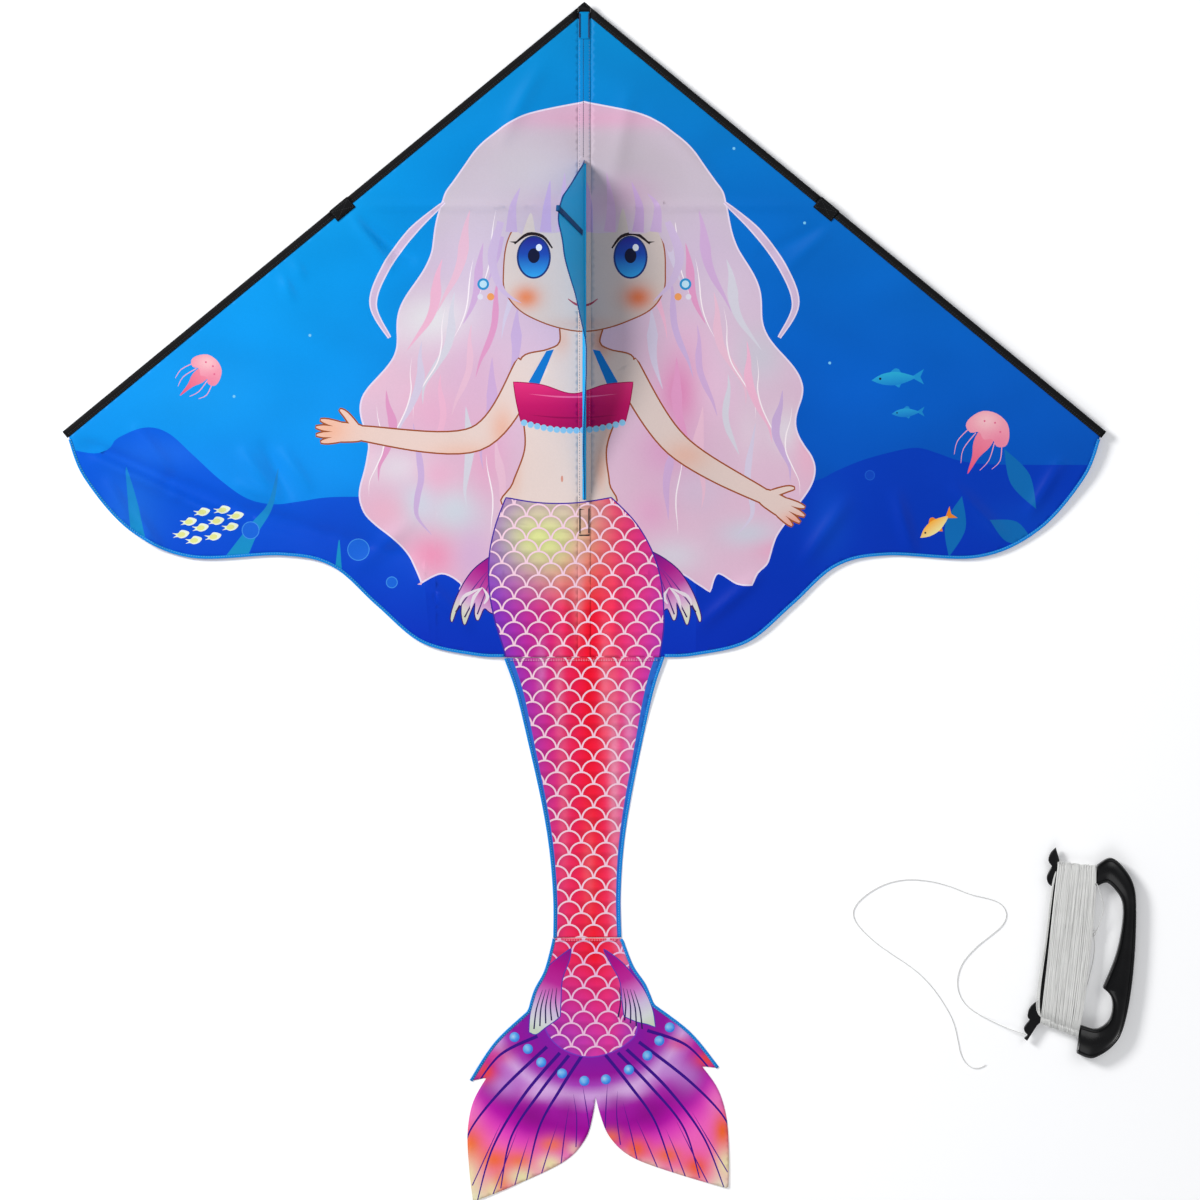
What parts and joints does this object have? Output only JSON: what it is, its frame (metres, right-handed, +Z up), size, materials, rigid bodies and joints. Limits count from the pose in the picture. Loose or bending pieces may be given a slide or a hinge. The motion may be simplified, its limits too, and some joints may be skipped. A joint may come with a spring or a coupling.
{
  "type": "kite",
  "caption": "Delta kite with a fish-tail sail, standing keel and tow loop, unclipping spreader, folding wings and tail, and a hand winder with its line.",
  "frame": {"origin": "middle of the footprint of the kite and its winder, on the floor that they lie on", "axes": "+X towards the kite's right wingtip seen from its printed face, +Y towards its nose, +Z up out of its printed face"},
  "size_m": [1.4436, 1.6136, 0.1356],
  "materials": {
    "sail_print": "glossy woven polyester, printed",
    "tail_print": "glossy woven polyester, printed",
    "fluke_print": "glossy woven polyester, printed",
    "seam_cloth": "glossy woven polyester, folded and stitched",
    "hem_cloth": "glossy woven polyester, folded and stitched",
    "black_tape": "plain woven nylon tape",
    "keel_cloth": "glossy woven polyester, dyed",
    "webbing": "woven polypropylene webbing",
    "fibreglass": "pultruded rod, satin",
    "vinyl_cap": "dipped vinyl",
    "clip_plastic": "moulded nylon",
    "winder_plastic": "moulded polystyrene",
    "line": "braided polyester"
  },
  "bodies": {
    "root": {"spine_spar": "fibreglass", "spine_nose_cap": "vinyl_cap", "spine_tail_cap": "vinyl_cap", "spine_sleeve": "seam_cloth", "nose_patch": "seam_cloth", "spine_end_patch": "seam_cloth", "centre_seam": "seam_cloth"},
    "left_wing": {"left_sail_panel": "sail_print", "left_trailing_hem": "hem_cloth", "left_leading_edge_sleeve": "black_tape", "left_leading_edge_spar": "fibreglass", "left_nose_end_cap": "vinyl_cap", "left_tip_end_cap": "vinyl_cap", "left_spreader_patch": "black_tape"},
    "right_wing": {"right_sail_panel": "sail_print", "right_trailing_hem": "hem_cloth", "right_leading_edge_sleeve": "black_tape", "right_leading_edge_spar": "fibreglass", "right_nose_end_cap": "vinyl_cap", "right_tip_end_cap": "vinyl_cap", "right_spreader_patch": "black_tape"},
    "spreader": {"spreader_spar": "fibreglass", "left_spreader_clip": "clip_plastic", "right_spreader_clip": "clip_plastic"},
    "keel": {"keel_panel": "keel_cloth", "keel_hem": "webbing", "tow_webbing": "webbing"},
    "tail": {"tail_panel": "tail_print", "tail_seam_tape": "seam_cloth", "left_tail_hem": "hem_cloth", "right_tail_hem": "hem_cloth"},
    "fluke": {"fluke_panel": "fluke_print", "fluke_seam_tape": "seam_cloth", "left_fluke_hem": "hem_cloth", "right_fluke_hem": "hem_cloth"},
    "winder": {"line_winder": "winder_plastic", "wound_line": "line", "flying_line": "line"}
  },
  "joints": [
    {"name": "left_wing_fold", "type": "hinge", "parent": "root", "child": "left_wing", "pos_m": [-0.02803, 0.53177, 0.0145], "axis": [0, 1, 0], "range_deg": [0, 70]},
    {"name": "right_wing_fold", "type": "hinge", "parent": "root", "child": "right_wing", "pos_m": [-0.01203, 0.53177, 0.0145], "axis": [0, 1, 0], "range_deg": [-85, 0]},
    {"name": "keel_fold", "type": "hinge", "parent": "root", "child": "keel", "pos_m": [-0.02003, 0.53177, 0.015], "axis": [0, 1, 0], "range_deg": [-70, 85]},
    {"name": "tail_fold", "type": "hinge", "parent": "root", "child": "tail", "pos_m": [-0.02003, -0.07523, 0.01385], "axis": [1, 0, 0], "range_deg": [-85, 85]},
    {"name": "fluke_fold", "type": "hinge", "parent": "tail", "child": "fluke", "pos_m": [-0.02003, -0.45223, 0.00025], "axis": [-1, 0, 0], "range_deg": [-85, 85]},
    {"name": "spreader_release", "type": "slide", "parent": "root", "child": "spreader", "axis": [0, 0, 1], "range_m": [-0.08, 0]},
    {"name": "winder_lift", "type": "slide", "parent": "root", "child": "winder", "axis": [0, 0, 1], "range_m": [0, 0.3]}
  ]
}
